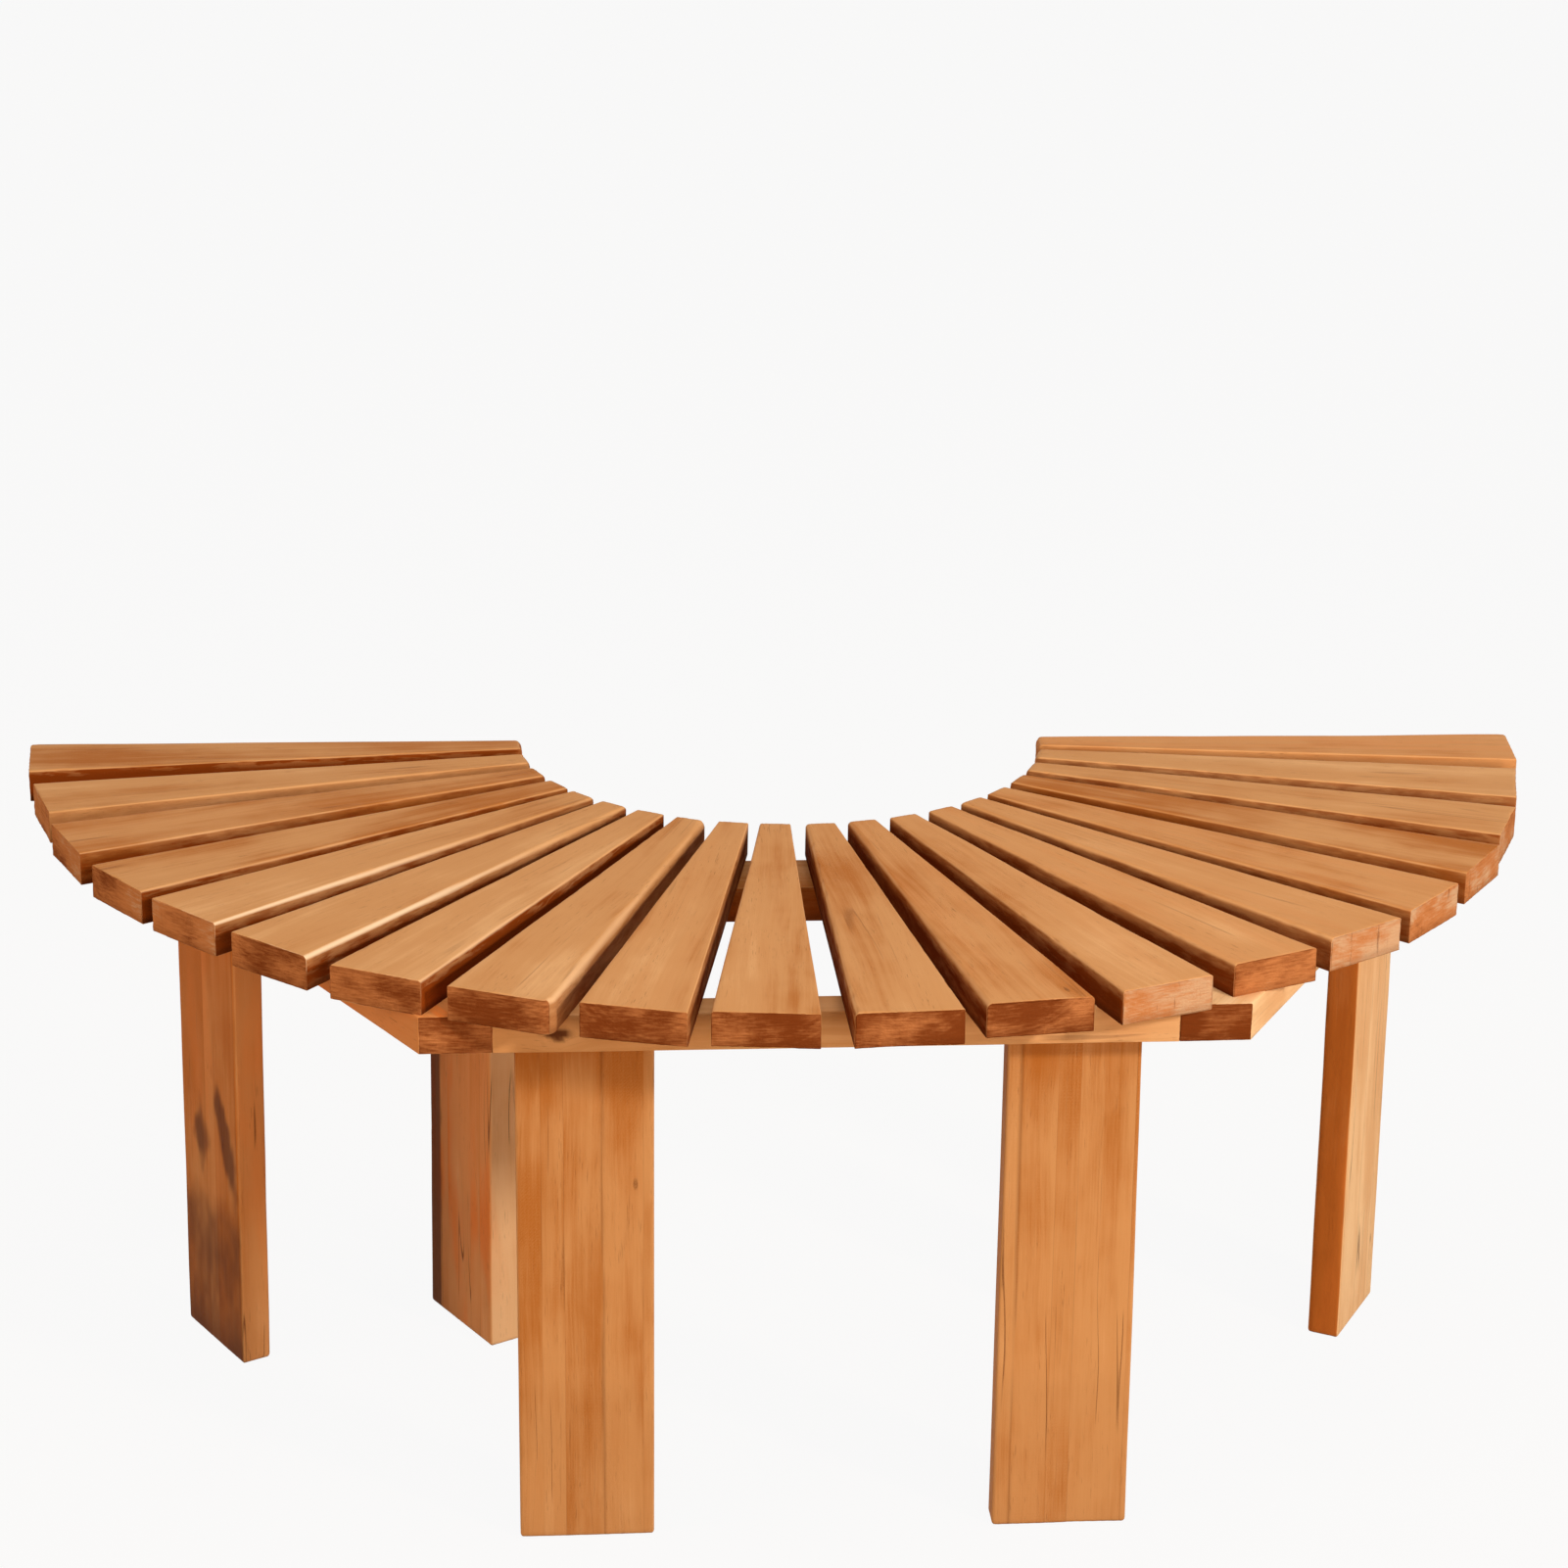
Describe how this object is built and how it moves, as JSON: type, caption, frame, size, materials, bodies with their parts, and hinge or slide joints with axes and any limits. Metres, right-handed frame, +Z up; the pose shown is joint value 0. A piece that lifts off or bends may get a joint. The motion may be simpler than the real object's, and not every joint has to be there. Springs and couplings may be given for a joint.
{
  "type": "tree bench",
  "caption": "Half-ring hardwood bench that stands around one half of a tree trunk, with tapered slats fanned over two half-hexagon rail frames on plank legs",
  "frame": {"origin": "the middle of the bench's footprint, on the floor", "axes": "+X runs along the bench's straight back, to the right seen from the seated side; -Y is the side people sit down from and +Y is the trunk's side; +Z is up"},
  "size_m": [1.212, 0.6006, 0.45],
  "materials": {
    "slat_wood": "planed hardwood, oiled, satin, honey brown",
    "rail_wood": "planed hardwood, oiled, satin, warm brown",
    "leg_wood": "edge-glued hardwood staves, planed and oiled, satin",
    "dowel_wood": "bare turned beech",
    "screw_steel": "zinc-plated steel"
  },
  "bodies": {
    "root": {"slat_01": "slat_wood", "slat_02": "slat_wood", "slat_03": "slat_wood", "slat_04": "slat_wood", "slat_05": "slat_wood", "slat_06": "slat_wood", "slat_07": "slat_wood", "slat_08": "slat_wood", "slat_09": "slat_wood", "slat_10": "slat_wood", "slat_11": "slat_wood", "slat_12": "slat_wood", "slat_13": "slat_wood", "slat_14": "slat_wood", "slat_15": "slat_wood", "slat_16": "slat_wood", "slat_17": "slat_wood", "slat_18": "slat_wood", "slat_19": "slat_wood", "slat_20": "slat_wood", "outer_rail_front": "rail_wood", "outer_rail_left": "rail_wood", "outer_rail_right": "rail_wood", "inner_rail_front": "rail_wood", "inner_rail_left": "rail_wood", "inner_rail_right": "rail_wood", "leg_front_left": "leg_wood", "leg_front_right": "leg_wood", "leg_side_left": "leg_wood", "leg_side_right": "leg_wood", "leg_inner_left": "leg_wood", "leg_inner_right": "leg_wood", "slat_screws_outer": "screw_steel", "slat_screws_inner": "screw_steel", "leg_screws_front": "screw_steel", "leg_screws_side": "screw_steel", "leg_screws_inner": "screw_steel", "outer_corner_dowels": "dowel_wood", "inner_corner_dowels": "dowel_wood"}
  },
  "joints": []
}
